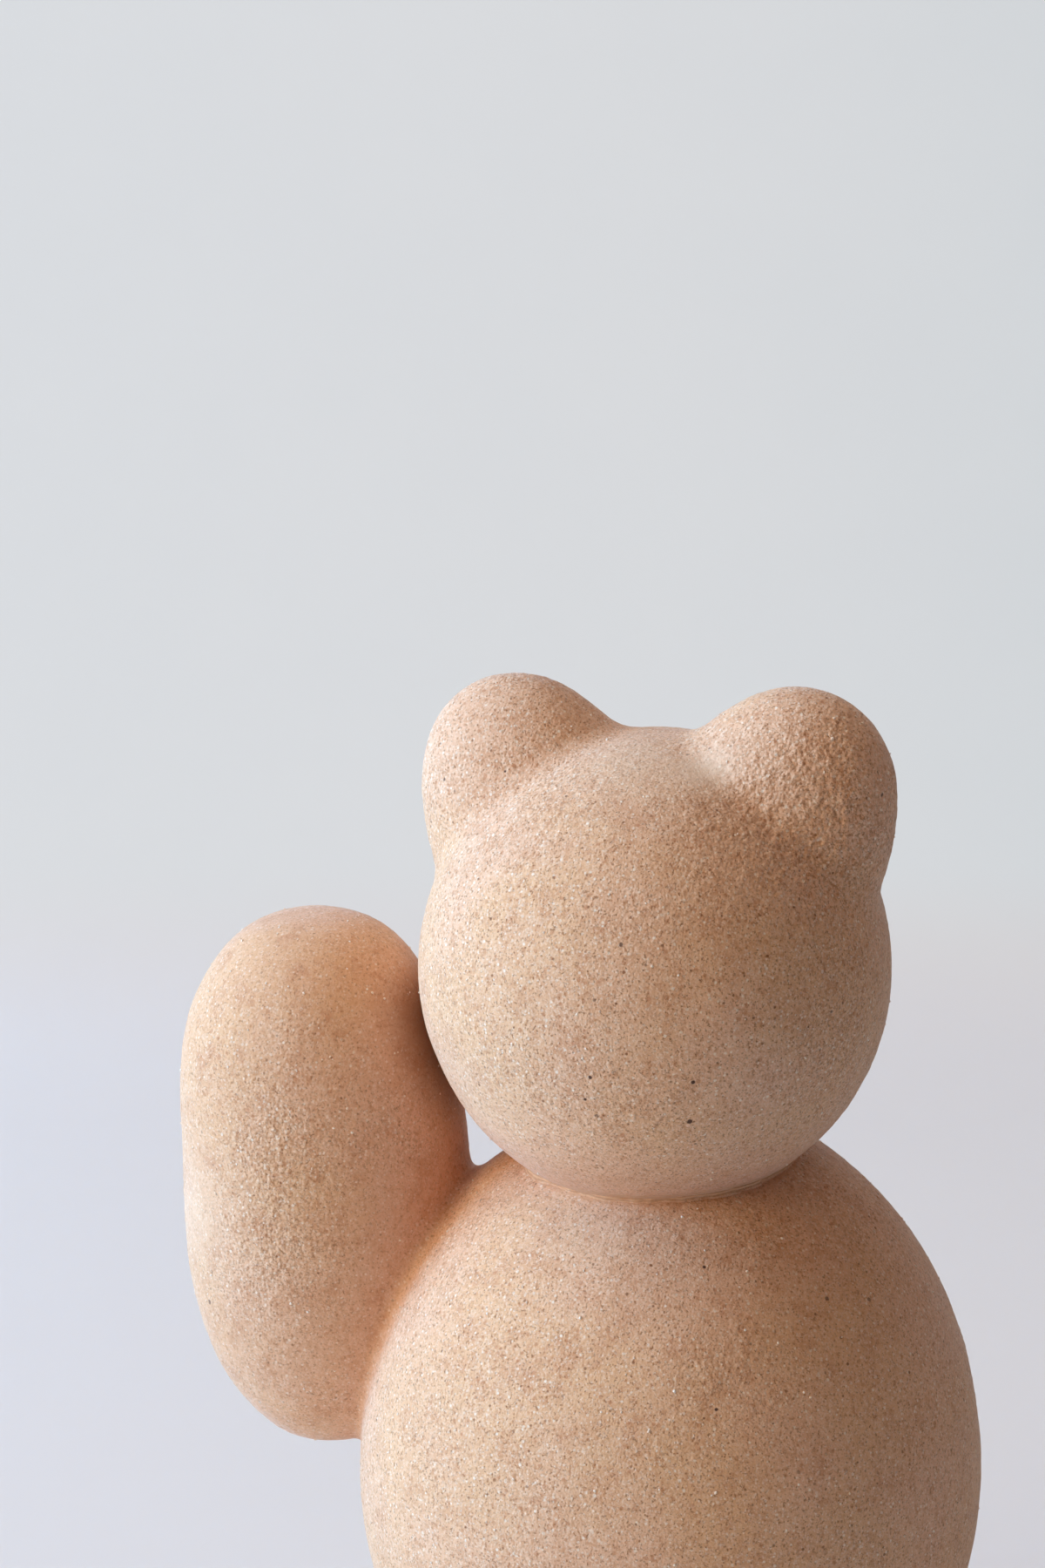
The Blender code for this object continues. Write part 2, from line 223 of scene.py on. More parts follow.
# Where coarse sand shows, how far round each place, and how strongly
SANDY_PLACES = (
    (on(EARS[1], 0.1, 0.5, 0.8), 0.017, 0.8),
    (on(EARS[1], 0.7, 0.5, 0.6), 0.014, 0.7),
    (on(EARS[-1], 0.2, 0.8, 0.4), 0.015, 0.6),
    (on(ARM, -0.1, 1.0, -0.1), 0.012, 0.65),
    (on(ARM, 0.1, 1.0, 0.65), 0.013, 0.6),
    (on(HEAD, 0.9, 0.4, -0.1), 0.012, 0.6),
)
# Where a wet thumb or brush went over the clay, how far round, and how strongly. The places on the crown and
# on the body's top are partly painted light, paler as if lit from above.
WIPED_AND_TOP_LIT_PLACES = (
    (on(HEAD, 0.31, 0.33, 0.89), 0.0050, 0.8),
    (on(HEAD, 0.06, 0.36, 0.93), 0.0110, 0.4),
    (on(BODY, 0.00, 0.45, 0.90), 0.0160, 0.10),
    (on(HEAD, -0.5, 0.7, -0.45), 0.0120, 0.15),
    (on(ARM, -0.7, 0.7, -0.05), 0.0110, 0.3),
)
# Where a finger pressed the clay out, how far round, and how far out
PRESSED_PLACES = ((on(BODY, -0.58, 0.19, 1.0), 0.0075, 0.0010),)
# The largest iron specks and their radii
IRON_PLACES = (
    (on(HEAD, 0.39, 0.81, -0.44), 0.00050),
    (on(HEAD, 0.42, 0.87, -0.26), 0.00036),
    (on(HEAD, 0.02, 0.97, -0.25), 0.00036),
    (on(HEAD, -0.01, 0.94, -0.35), 0.00028),
    (on(ARM, 0.67, 0.74, -0.06), 0.00036),
    (on(EARS[-1], 0.14, 0.62, 0.77), 0.00030),
    (on(BODY, 0.37, 0.80, 0.47), 0.00030),
    (on(BODY, 0.26, 0.57, 0.78), 0.00030),
)


def smooth_union(first, second, blend):
    """The union of two fields, its crease filled over a width of about blend."""
    overlap = np.clip(blend - np.abs(first - second), 0, None)
    return np.minimum(first, second) - overlap**2 / (4 * blend)


def smooth_cut(first, second, blend):
    """What two fields share, its edge rounded over a width of about blend."""
    return -smooth_union(-first, -second, blend)


def vent_field(points):
    bore = np.hypot(points[:, 0], points[:, 1] - VENT_BACK) - VENT_RADIUS
    return np.maximum(bore, points[:, 2] - VENT_DEPTH)


def rising(values, low, high):
    """0 below low, 1 above high and a smooth step between them."""
    share = np.clip((values - low) / (high - low), 0, 1)
    return share * share * (3 - 2 * share)


def around(points, places):
    """The sum of what some places add to the points round them."""
    return sum(
        strength * np.exp(-((points - place) ** 2).sum(axis=1) / reach**2)
        for place, reach, strength in places
    )


def swelling(up, contour):
    """How far a contour stands out, at heights along a form."""
    return sum(rise * np.exp(-(((up - height) / spread) ** 2)) for height, spread, rise in contour)


def arm_field(points):
    """The arm's form, fuller at the outer side of the paw and slimmer under its elbow."""
    inward, _, up = ((points - ARM.centre) @ ARM.turn / ARM.half).T
    outer = swelling(up, ARM_OUTER_CONTOUR) * rising(-inward, *ARM_OUTER_SIDE)
    inner = swelling(up, ARM_INNER_CONTOUR) * rising(inward, *ARM_INNER_SIDE)
    return ARM.distance(points) - outer - inner


def ear_field(side, points):
    """An ear's form, with its flank towards the crown drawn in above the head."""
    ear = EARS[side]
    outward, _, up = ((points - ear.centre) @ ear.turn / ear.half).T
    flank = rising(-side * outward, *EAR_FLANK_ACROSS) * rising(-up, *EAR_FLANK_DOWN)
    top = rising(up, *EAR_TIP)
    return ear.distance(points) + EAR_FLANK_DRAWN_IN * flank + EAR_SLIMMED - EAR_TOP_RAISED * top


def torso_field(points):
    high = rising(ARM.height(points) / ARM.half[2], *ARM_BLEND_HEIGHTS)
    blend = ARM_BLEND_LOW + (ARM_BLEND_HIGH - ARM_BLEND_LOW) * high
    body = BODY.distance(points) - around(points, PRESSED_PLACES)
    clay = smooth_union(body, arm_field(points), blend)
    standing = smooth_cut(clay, -points[:, 2], FOOT_BLEND)
    return smooth_cut(standing, -vent_field(points), VENT_BLEND)


def head_field(points):
    clay = HEAD.distance(points)
    for side in EARS:
        clay = smooth_union(clay, ear_field(side, points), EAR_BLEND)
    return clay


def slope_of(field, points):
    slope = np.empty_like(points)
    for axis in range(3):
        step = np.zeros(3)
        step[axis] = NUDGE
        slope[:, axis] = (field(points + step) - field(points - step)) / (2 * NUDGE)
    return slope


def settle(field, points):
    """Moves points onto a field's surface."""
    for _ in range(SETTLE_ROUNDS):
        slope = slope_of(field, points)
        points = points - slope * (field(points) / np.maximum((slope**2).sum(axis=1), 0.05))[:, None]
    return points


def vent_solid():
    bm = bmesh.new()
    bmesh.ops.create_cone(
        bm, cap_ends=True, segments=48, radius1=VENT_RADIUS, radius2=VENT_RADIUS, depth=2 * VENT_DEPTH
    )
    vent = object_from(bm, "vent")
    vent.location.y = VENT_BACK
    return vent


def floor_solid():
    """What lies under the foot's plane, as a cutter."""
    bm = bmesh.new()
    bmesh.ops.create_cube(bm, size=1)
    block = object_from(bm, "underground")
    block.location.z = -0.5
    return block


def fine_mesh(step, start, joined, cutters):
    """Points and four-sided faces of about one size over the union of some coarse solids."""
    steps = [(other, "UNION") for other in joined] + [(other, "DIFFERENCE") for other in cutters]
    for other, operation in steps:
        modifier = start.modifiers.new(operation, "BOOLEAN")
        modifier.operation = operation
        modifier.object = other
    remesh = start.modifiers.new("remesh", "REMESH")
    remesh.mode = "VOXEL"
    remesh.voxel_size = step
    evaluated = start.evaluated_get(bpy.context.evaluated_depsgraph_get())
    mesh = evaluated.to_mesh()
    points = np.empty(len(mesh.vertices) * 3)
    mesh.vertices.foreach_get("co", points)
    faces = np.empty(len(mesh.loops), dtype=np.int64)
    mesh.loops.foreach_get("vertex_index", faces)
    evaluated.to_mesh_clear()
    for solid in (start, *joined, *cutters):
        bpy.data.objects.remove(solid, do_unlink=True)
    return points.reshape(-1, 3), faces.reshape(-1, 4)


def lattice_noise(points, size, seed):
    """Smooth noise from -1 to 1, with features of about that size."""
    place = points / size + seed * 17.31
    cell = np.floor(place)
    within = place - cell
    ease = within * within * within * (within * (within * 6 - 15) + 10)
    total = np.zeros(len(points))
    for corner in np.ndindex(2, 2, 2):
        key = (cell + corner) @ (127.1, 311.7, 74.7) + seed
        value = np.modf(np.abs(np.sin(key) * 43758.5453))[0]
        weight = np.prod(np.where(corner, ease, 1 - ease), axis=1)
        total += weight * value
    return 2 * total - 1


# Relief of the hand-made surface: how large its features are, and how far they stand out
RELIEF = (
    (0.0280, 0.00018),
    (0.0110, 0.00010),
    (0.0042, 0.00004),
)
SANDY_RELIEF = (
    (0.0021, 0.00005),
    (0.0011, 0.00019),
    (0.0008, 0.00012),
)
SMOOTH_SHARE = 0.06  # of the sandy relief where the clay is smooth
WIPED_FLATTER = 0.7
LEVEL_FOOT = 0.004  # the relief fades out below this height
SANDY_EVERYWHERE = 0.22
SANDY_WANDERS = ((0.017, 0.3, 31), (0.006, 0.2, 32))  # size of the noise, strength and seed

# Depths under an even form, below zero over it, between which a mark of the surface sets in
RUBBED_DEPTHS = (-0.006, -0.001)
# where the painted shade beside the head sets in on the arm
SHADE_DEPTHS_ON_ARM = (-0.002, -0.0005)
BESIDE_HEAD = (-0.010, -0.001)
UNDER_HEAD_MIDDLE = (-0.002, 0.012)  # how far below the head's middle
BODY_RUBBED = 0.12  # against 1 on the arm
HEAD_SKIN = 0.0015  # how near the even head its own skin lies
FAR_AWAY = 1.0


def layered_noise(points, layers):
    """Noises of several sizes, added up."""
    return sum(strength * lattice_noise(points, size, seed) for size, strength, seed in layers)


def sandiness(points):
    """Where coarse sand stands out of the clay, from 0 to 1."""
    wanders = SANDY_EVERYWHERE + layered_noise(points, SANDY_WANDERS)
    return np.clip(wanders + around(points, SANDY_PLACES), 0, 1)


def wiping_and_top_light(points):
    """Where a wet thumb or brush smoothed and paled the clay, and where the crown and the body's top are
    painted paler as if lit from above, from 0 to 1.
    """
    return np.clip(around(points, WIPED_AND_TOP_LIT_PLACES), 0, 1)


def rubbing(points):
    """Where the maker's palm rubbed the clay: fully on the raised arm, a little on the body."""
    over_body = rising(-BODY.distance(points), *RUBBED_DEPTHS)
    over_arm = rising(-ARM.distance(points), *RUBBED_DEPTHS)
    return np.clip(BODY_RUBBED * over_body + over_arm, 0, 1)


def painted_shade_beside_head(points):
    """Painted shade on the raised arm where it passes close beside the head, below the head's middle."""
    over_arm = rising(-ARM.distance(points), *SHADE_DEPTHS_ON_ARM)
    below = rising(HEAD.centre[2] - points[:, 2], *UNDER_HEAD_MIDDLE)
    return over_arm * below * rising(-HEAD.distance(points), *BESIDE_HEAD)


def over_neck(points):
    """How high the head's points lie over the neck's crease. Elsewhere it says far away."""
    on_head = np.abs(HEAD.distance(points)) < HEAD_SKIN
    return np.where(on_head, BODY.distance(points), FAR_AWAY)


def normals_of(points, faces):
    """Each vertex's normal, from the faces round it."""
    across = points[faces[:, 2]] - points[faces[:, 0]]
    along = points[faces[:, 3]] - points[faces[:, 1]]
    weights = np.cross(across, along)
    normals = np.zeros_like(points)
    for corner in range(4):
        np.add.at(normals, faces[:, corner], weights)
    return normals / np.maximum(np.linalg.norm(normals, axis=1), 1e-15)[:, None]


def roughened(field, points):
    """Settled points with the hand-made relief."""
    normals = slope_of(field, points)
    normals /= np.linalg.norm(normals, axis=1)[:, None]
    coarse = np.maximum(SMOOTH_SHARE, sandiness(points)) * (1 - WIPED_FLATTER * wiping_and_top_light(points))
    rise = np.zeros(len(points))
    for number, (size, height) in enumerate(RELIEF):
        rise += height * lattice_noise(points, size, number + 1)
    for number, (size, height) in enumerate(SANDY_RELIEF):
        rise += coarse * height * np.clip(lattice_noise(points, size, number + 11), -0.3, 1)
    rise *= np.clip(points[:, 2] / LEVEL_FOOT, 0, 1)
    return points + normals * rise[:, None]


def bake_map(points, middle, axis):
    """Flat coordinates for a piece: its directions from its middle, laid out round its axis."""
    axis = Vector(axis).normalized()
    first = axis.orthogonal().normalized()
    second = axis.cross(first)
    local = (points - middle) @ np.array((first, second, axis)).T
    tilt = np.arctan2(np.hypot(local[:, 0], local[:, 1]), local[:, 2])
    turn = np.arctan2(local[:, 1], local[:, 0])
    flat = np.stack((tilt * np.cos(turn), tilt * np.sin(turn)), axis=1)
    low = flat.min(axis=0)
    return (flat - low) / (flat.max(axis=0) - low).max() * (1 - 2 * MAP_MARGIN) + MAP_MARGIN


def add_skin(name, points, faces, normals, middle, axis, material, replaced):
    """One piece from some faces of a fine mesh, with the whole mesh's normals."""
    used, corners = np.unique(faces, return_inverse=True)
    own = points[used]
    mesh = bpy.data.meshes.new(name)
    mesh.vertices.add(len(own))
    mesh.vertices.foreach_set("co", own.ravel())
    mesh.loops.add(corners.size)
    mesh.loops.foreach_set("vertex_index", corners.ravel().astype(np.int32))
    mesh.polygons.add(len(faces))
    mesh.polygons.foreach_set("loop_start", np.arange(0, corners.size, 4, dtype=np.int32))
    flat = mesh.uv_layers.new(name="OFBake")
    flat.data.foreach_set("uv", bake_map(own, middle, axis)[corners.ravel()].ravel())
    fields = {
        "sandy": sandiness,
        "wiped_and_top_lit": wiping_and_top_light,
        "rubbed": rubbing,
        "painted_shade": painted_shade_beside_head,
        "over_neck": over_neck,
    }
    for attribute, field in fields.items():
        mesh.attributes.new(attribute, "FLOAT", "POINT").data.foreach_set("value", field(own))
    mesh.update(calc_edges=True)
    mesh.shade_smooth()
    mesh.normals_split_custom_set_from_vertices(normals[used])
    mesh.materials.append(material)
    skin = bpy.data.objects.new(name, mesh)
    bpy.context.scene.collection.objects.link(skin)
    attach(skin, "root")
    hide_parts(*replaced)
    return skin


class Tree:
    """A material's nodes, added one by one."""

    def __init__(self, name):
        self.material = bpy.data.materials.new(name)
        self.material.use_nodes = True
        self.nodes = self.material.node_tree.nodes
        self.links = self.material.node_tree.links
        self.shader = self.nodes["Principled BSDF"]
        self.place = self.add("ShaderNodeTexCoord").outputs["Object"]

    def add(self, kind, **settings):
        node = self.nodes.new(kind)
        for name, value in settings.items():
            setattr(node, name, value)
        return node

    def fill(self, socket, value):
        """Links a socket's source to it, or sets its number or colour."""
        if isinstance(value, bpy.types.NodeSocket):
            self.links.new(value, socket)
        elif isinstance(value, tuple) and len(value) == 3 and socket.type == "RGBA":
            socket.default_value = (*value, 1)
        else:
            socket.default_value = value

    def maths(self, operation, first, second=0.0, third=0.0):
        node = self.add("ShaderNodeMath", operation=operation)
        for socket, value in zip(node.inputs, (first, second, third)):
            self.fill(socket, value)
        return node.outputs[0]

    def mix(self, share, first, second, blend="MIX"):
        node = self.add("ShaderNodeMix", data_type="RGBA", blend_type=blend)
        self.fill(node.inputs[0], share)
        self.fill(node.inputs[6], first)
        self.fill(node.inputs[7], second)
        return node.outputs[2]

    def ramp(self, value, low, high, out_low=0.0, out_high=1.0):
        node = self.add("ShaderNodeMapRange", interpolation_type="SMOOTHSTEP")
        for socket, setting in zip(node.inputs, (value, low, high, out_low, out_high)):
            self.fill(socket, setting)
        return node.outputs[0]

    def noise(self, size, detail=2.0, roughness=0.5, place=None):
        node = self.add("ShaderNodeTexNoise")
        self.fill(node.inputs["Vector"], place or self.place)
        node.inputs["Scale"].default_value = 1 / size
        node.inputs["Detail"].default_value = detail
        node.inputs["Roughness"].default_value = roughness
        return node.outputs["Fac"]

    def cells(self, size, place=None):
        """Scattered cells of that size: how far off their middles are, and random numbers for each."""
        cells = self.add("ShaderNodeTexVoronoi", feature="F1")
        self.fill(cells.inputs["Vector"], place or self.place)
        cells.inputs["Scale"].default_value = 1 / size
        split = self.add("ShaderNodeSeparateColor")
        self.fill(split.inputs[0], cells.outputs["Color"])
        return cells.outputs["Distance"], split.outputs

    def grains(self, radius, area, seed):
        """1 inside scattered grains, 0 between them, of a radius and with one in each stretch of area."""
        spacing = (radius * area) ** (1 / 3)
        shift = self.add("ShaderNodeVectorMath", operation="ADD")
        self.fill(shift.inputs[0], self.place)
        shift.inputs[1].default_value = (seed, seed * 0.7, seed * 1.3)
        away, own = self.cells(spacing, shift.outputs[0])
        wobble = self.noise(radius * 1.1, 1.0, 0.5, shift.outputs[0])
        size = self.maths("MULTIPLY_ADD", own["Green"], 1.0, 0.5)
        size = self.maths("MULTIPLY", size, radius / spacing)
        bent = self.maths("MULTIPLY_ADD", wobble, 2 * GRAIN_RAGGED, 1 - GRAIN_RAGGED)
        size = self.maths("MULTIPLY", size, bent)
        depth = self.maths("SUBTRACT", size, away)
        edge = GRAIN_EDGE * radius / spacing
        inside = self.ramp(depth, -edge, edge)
        chosen = self.maths("LESS_THAN", own["Red"], GRAIN_SHARE)
        faint = self.maths("MULTIPLY_ADD", own["Blue"], 1 - GRAIN_FAINTEST, GRAIN_FAINTEST)
        return self.maths("MULTIPLY", inside, self.maths("MULTIPLY", chosen, faint))

    def pebbles(self, size):
        """Rounded grains that lie close together: 1 at their tops, 0 between them, and a number for each."""
        away, own = self.cells(size)
        return self.ramp(away, PEBBLE_EDGE, 0.0), own["Red"]

    def attribute(self, name):
        node = self.add("ShaderNodeAttribute")
        node.attribute_name = name
        return node.outputs["Fac"]

    def bumps(self, height, distance, strength=1.0):
        bump = self.add("ShaderNodeBump")
        bump.inputs["Distance"].default_value = distance
        self.fill(bump.inputs["Strength"], strength)
        self.fill(bump.inputs["Height"], height)
        self.fill(self.shader.inputs["Normal"], bump.outputs[0])


# Colours of the fired clay and of its grains
CLAY_PINK = (0.850, 0.485, 0.303)
CLAY_BUFF = (0.830, 0.470, 0.260)
CLAY_RUST = (0.660, 0.308, 0.163)
# painted shade in the pits and sandy hollows that the bump sinks
PIT_SHADE_COLOUR = (0.430, 0.190, 0.085)
CLAY_SAND = (0.940, 0.680, 0.500)
CLAY_TOOLED = (0.580, 0.290, 0.150)
CLAY_WIPED_AND_TOP_LIT = (0.930, 0.690, 0.510)
# painted shade in the gap between the raised arm and the head
SHADE_BESIDE_HEAD_COLOUR = (0.310, 0.150, 0.080)
GRAIN_DARK = (0.260, 0.095, 0.035)
GRAIN_BROWN = (0.430, 0.170, 0.060)
GRAIN_RUST = (0.520, 0.185, 0.070)
GRAIN_CREAM = (0.960, 0.760, 0.600)
IRON = (0.110, 0.050, 0.032)
CLAY_ROUGHNESS = 0.76
CLAY_SHINE = 0.20
DUST = 0.20  # sheen of the powdery surface
DUST_ROUGHNESS = 0.35
QUARTZ_DARKEST = (0.90, 0.66, 0.48)
QUARTZ_PALEST = (1.0, 0.84, 0.70)
QUARTZ_ROUGHNESS = (0.22, 0.45)

# How large the patterns in the clay are
CLOUD_SIZE = 0.034
PATCH_SIZE = 0.006
MOTTLE_SIZE = 0.0016
COARSE_GROG = 0.00085
GRAVEL_SIZE = 0.00065
FINE_GROG = 0.00050
PIT_SIZE = 0.00050
POWDER_SIZE = 0.00030
BUMP_DEPTH = 0.00013
QUARTZ_PATCH = 0.0021  # of grains that share a tone
QUARTZ_BUMP_SIZE = 0.00012
QUARTZ_BUMP_DEPTH = 0.00001

# Shape of the grains
PEBBLE_EDGE = 0.80
GRAIN_EDGE = 0.35  # its softness, in radii
GRAIN_RAGGED = 0.45
GRAIN_SHARE = 0.5  # of the cells that hold one
GRAIN_FAINTEST = 0.4

# Radius, area with one grain, seed, colour and strength
GRAINS = (
    (0.00020, 0.0000030, 0.003, GRAIN_CREAM, 0.95),
    (0.00030, 0.0000045, 0.011, GRAIN_RUST, 0.55),
    (0.00016, 0.0000024, 0.023, GRAIN_BROWN, 0.75),
    (0.00019, 0.0000170, 0.031, GRAIN_DARK, 0.90),
    (0.00034, 0.0012000, 0.047, IRON, 0.90),
)

# What hands and tools did to the clay
RUBBED_AWAY = 0.42  # of the speckle and the fine relief
RUBBED_BROWNER = 0.32
RUBBED_CLOUDIER = 0.80
WIPED_AND_TOP_LIT_PALER = 0.75
WIPED_SMOOTHER = 0.6
# how strongly the painted shade darkens the arm beside the head
SHADE_BESIDE_HEAD_STRENGTH = 0.85
# Over the neck's crease, under the head: partly the clay's own rustier tone, partly painted warm shade
NECK_RUST_AND_SHADE = 0.38
NECK_RUST_AND_SHADE_HEIGHTS = (0.022, 0.004)  # from none to all of it, over the neck's crease
NECK_BAND = (0.0004, 0.0022)  # smoothed with a tool, from and up to so high over the neck's crease
NECK_BAND_EDGES = (0.0004, 0.0012)  # how wide its lower and its upper edge fade
NECK_BAND_SHOWS = 0.80
TOOL_LINES = 0.00070  # how far apart the tool's lines are
TOOL_WANDERS = (0.009, 0.0016)  # over what lengths, and how far


def clay_tones(tree, rubbed, crisp, mottle):
    """The clay's own colour: buff and pink, with rusty clouds and blotches."""
    cloudy = tree.noise(CLOUD_SIZE, 2.0, 0.5)
    colour = tree.mix(tree.ramp(cloudy, 0.36, 0.64), CLAY_BUFF, CLAY_PINK)
    patches = tree.noise(PATCH_SIZE, 3.0, 0.6)
    more = tree.maths("MULTIPLY_ADD", rubbed, RUBBED_CLOUDIER, 1.0)
    clouds = tree.maths("MULTIPLY", tree.ramp(patches, 0.48, 0.72, 0.0, 0.50), more)
    colour = tree.mix(clouds, colour, CLAY_RUST)
    blotches = tree.maths("MULTIPLY", tree.ramp(mottle, 0.48, 0.68, 0.0, 0.65), crisp)
    colour = tree.mix(blotches, colour, CLAY_RUST)
    return tree.mix(tree.maths("MULTIPLY", rubbed, RUBBED_BROWNER), colour, CLAY_RUST)


def speckled(tree, colour, crisp, powder):
    """A colour with the scattered grains and the largest iron specks on it."""
    for radius, area, seed, grain, strength in GRAINS:
        inside = tree.maths("MULTIPLY", tree.grains(radius, area, seed), crisp)
        colour = tree.mix(tree.maths("MULTIPLY", inside, strength), colour, grain)
    for place, radius in IRON_PLACES:
        away = tree.add("ShaderNodeVectorMath", operation="DISTANCE")
        tree.fill(away.inputs[0], tree.place)
        away.inputs[1].default_value = place
        ragged = tree.maths("MULTIPLY_ADD", powder, -0.8 * radius, away.outputs["Value"])
        colour = tree.mix(tree.ramp(ragged, 0.75 * radius, 0.45 * radius), colour, IRON)
    return colour


def neck_band(tree, neck):
    """Where the clay over the neck's crease was smoothed with a tool, and the tool's lines."""
    low, high = NECK_BAND
    tooled = tree.maths(
        "MULTIPLY",
        tree.ramp(neck, low - NECK_BAND_EDGES[0], low),
        tree.ramp(neck, high + NECK_BAND_EDGES[1], high),
    )
    length, sway = TOOL_WANDERS
    wander = tree.maths("MULTIPLY_ADD", tree.noise(length, 2.0), sway, neck)
    lines = tree.maths("SINE", tree.maths("MULTIPLY", wander, 2 * math.pi / TOOL_LINES))
    return tooled, tree.maths("MULTIPLY_ADD", lines, 0.5, 0.5)


def stoneware(name):
    """Unglazed clay with coarse grog: sandy relief, cream, rust and dark grains, iron spots."""
    tree = Tree(name)
    sandy = tree.attribute("sandy")
    wiped_and_top_lit = tree.attribute("wiped_and_top_lit")
    neck = tree.attribute("over_neck")
    bare = tree.maths("SUBTRACT", 1.0, sandy)
    rubbed = tree.maths("MULTIPLY", tree.attribute("rubbed"), bare)
    crisp = tree.maths("MULTIPLY_ADD", rubbed, -RUBBED_AWAY, 1.0)
    fine, grit = tree.pebbles(FINE_GROG)
    coarse, _ = tree.pebbles(COARSE_GROG)
    powder = tree.noise(POWDER_SIZE, 2.0, 0.6)
    mottle = tree.noise(MOTTLE_SIZE, 3.0, 0.7)
    pits = tree.noise(PIT_SIZE, 2.0, 0.6)
    gravel = tree.noise(GRAVEL_SIZE, 1.0, 0.5)
    tooled, lines = neck_band(tree, neck)

    colour = clay_tones(tree, rubbed, crisp, mottle)
    # painted shade: darker where the bump sinks the pits and the sandy hollows
    shaded_hollows = tree.maths("MULTIPLY", sandy, tree.ramp(gravel, 0.50, 0.34, 0.0, 0.6))
    depth = tree.maths("MAXIMUM", tree.ramp(pits, 0.55, 0.72, 0.0, 0.95), shaded_hollows)
    colour = tree.mix(tree.maths("MULTIPLY", depth, crisp), colour, PIT_SHADE_COLOUR)
    sand = tree.maths("MULTIPLY_ADD", grit, 0.5, tree.ramp(powder, 0.50, 0.70, 0.0, 0.5))
    bright = tree.maths("MULTIPLY", tree.ramp(sand, 0.25, 0.85, 0.0, 0.72), crisp)
    colour = tree.mix(bright, colour, CLAY_SAND)
    colour = speckled(tree, colour, crisp, powder)
    # paler where wiped, and painted light on the tops of the head and body
    colour = tree.mix(tree.maths("MULTIPLY", wiped_and_top_lit, WIPED_AND_TOP_LIT_PALER), colour, CLAY_WIPED_AND_TOP_LIT)
    # painted shade on the arm where it passes close beside the head
    shade_beside_head = tree.maths("MULTIPLY", tree.attribute("painted_shade"), SHADE_BESIDE_HEAD_STRENGTH)
    colour = tree.mix(shade_beside_head, colour, SHADE_BESIDE_HEAD_COLOUR)
    # rust tone and painted shade on the head towards the neck's crease
    colour = tree.mix(tree.ramp(neck, *NECK_RUST_AND_SHADE_HEIGHTS, 0.0, NECK_RUST_AND_SHADE), colour, CLAY_RUST)
    smear = tree.mix(lines, CLAY_TOOLED, CLAY_BUFF)
    shows = tree.maths("MULTIPLY", tooled, NECK_BAND_SHOWS)
    tree.fill(tree.shader.inputs["Base Color"], tree.mix(shows, colour, smear))

    rough = tree.ramp(mottle, 0.3, 0.7, CLAY_ROUGHNESS - 0.06, CLAY_ROUGHNESS + 0.08)
    tree.fill(tree.shader.inputs["Roughness"], rough)
    tree.shader.inputs["Specular IOR Level"].default_value = CLAY_SHINE
    tree.shader.inputs["Sheen Weight"].default_value = DUST
    tree.shader.inputs["Sheen Roughness"].default_value = DUST_ROUGHNESS

    height = tree.maths("MULTIPLY_ADD", fine, 0.35, tree.maths("MULTIPLY", powder, 0.5))
    height = tree.maths("SUBTRACT", height, tree.ramp(pits, 0.56, 0.74, 0.0, 0.6))
    lumps = tree.maths("MULTIPLY_ADD", sandy, 1.1, 0.05)
    height = tree.maths("MULTIPLY_ADD", coarse, lumps, height)
    height = tree.maths("MULTIPLY_ADD", tree.maths("MULTIPLY", gravel, sandy), 1.2, height)
    height = tree.mix(shows, height, lines)
    smoothed = tree.maths("MULTIPLY_ADD", wiped_and_top_lit, -WIPED_SMOOTHER, 1.0)
    tree.bumps(height, BUMP_DEPTH, tree.maths("MULTIPLY", smoothed, crisp))
    return tree.material


def quartz(name):
    """The pale, slightly glassy grains that stand out of the clay."""
    tree = Tree(name)
    tone = tree.cells(QUARTZ_PATCH)[1]["Red"]
    colour = tree.mix(tree.ramp(tone, 0.2, 0.9), QUARTZ_DARKEST, QUARTZ_PALEST)
    tree.fill(tree.shader.inputs["Base Color"], colour)
    tree.fill(tree.shader.inputs["Roughness"], tree.ramp(tone, 0.0, 1.0, *QUARTZ_ROUGHNESS))
    tree.bumps(tree.noise(QUARTZ_BUMP_SIZE, 1.0), QUARTZ_BUMP_DEPTH)
    return tree.material


def parted(faces, labels):
    return {label: faces[labels == label] for label in np.unique(labels)}


def torso_labels(middles):
    """The CAD node that each of the torso's faces stands for."""
    body = BODY.distance(middles)
    arm = ARM.distance(middles)
    height = BODY.height(middles)
    arm_height = ARM.height(middles) - ARM_SEAM
    half = SEAM_WIDTH / 2
    labels = np.where(height > half, "body_upper_bowl", "body_lower_bowl")
    labels = np.where(np.abs(height) <= half, "body_seam_coil", labels)
    on_arm = arm < body
    arm_labels = np.where(arm_height > half, "arm_upper_bowl", "arm_lower_bowl")
    arm_labels = np.where(np.abs(arm_height) <= half, "arm_seam_coil", arm_labels)
    labels = np.where(on_arm, arm_labels, labels)
    labels = np.where(np.abs(arm - body) < ARM_COIL_REACH, "arm_coil", labels)
    return np.where(HEAD.distance(middles) < -BURIED, "", labels)


def head_labels(middles):
    """The CAD node that each of the head's faces stands for."""
    head = HEAD.distance(middles)
    height = HEAD.height(middles)
    half = SEAM_WIDTH / 2
    labels = np.where(height > half, "head_upper_bowl", "head_lower_bowl")
    labels = np.where(np.abs(height) <= half, "head_seam_coil", labels)
    for side, name in ((-1, "left_ear"), (1, "right_ear")):
        ear = EARS[side].distance(middles)
        labels = np.where(ear < head, f"{name}_shell", labels)
        labels = np.where(np.abs(ear - head) < EAR_BLEND, f"{name}_coil", labels)
    return np.where(BODY.distance(middles) < -BURIED, "", labels)


